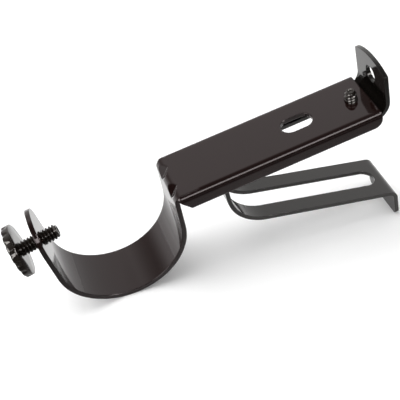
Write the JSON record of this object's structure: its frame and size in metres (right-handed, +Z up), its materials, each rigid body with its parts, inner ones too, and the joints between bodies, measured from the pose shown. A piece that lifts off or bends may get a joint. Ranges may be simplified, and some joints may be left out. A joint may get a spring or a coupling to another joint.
{
  "type": "curtain pole bracket",
  "caption": "Wall bracket with an adjustable channel arm, an open round pole cradle with a fluted thumb screw, and a folded support strap that loops back to the wall",
  "frame": {"origin": "centre of the upper wall screw hole, on the wall face of the strap's plate", "axes": "+X points into the wall, so the arm reaches out along -X; +Y is along the pole; +Z is up as the bracket is fitted"},
  "size_m": [0.1245, 0.022, 0.0648],
  "materials": {
    "arm_paint": "gloss dark bronze",
    "strap_paint": "gloss dark bronze",
    "screw_finish": "satin black bronze"
  },
  "bodies": {
    "wall_side": {"wall_strap": "strap_paint"},
    "arm_side": {"hook_arm": "arm_paint"},
    "thumb": {"thumb_screw": "screw_finish"},
    "clamp": {"clamp_screw": "screw_finish"}
  },
  "joints": [
    {"name": "arm_slide", "type": "slide", "parent": "wall_side", "child": "arm_side", "axis": [-1, 0, 0], "range_m": [0, 0.038]},
    {"name": "thumb_screw_travel", "type": "slide", "parent": "arm_side", "child": "thumb", "axis": [0.9945, 0, 0.1045], "range_m": [-0.004, 0.0052]},
    {"name": "clamp_screw_travel", "type": "slide", "parent": "arm_side", "child": "clamp", "axis": [0, 0, 1], "range_m": [-0.002, 0]}
  ]
}
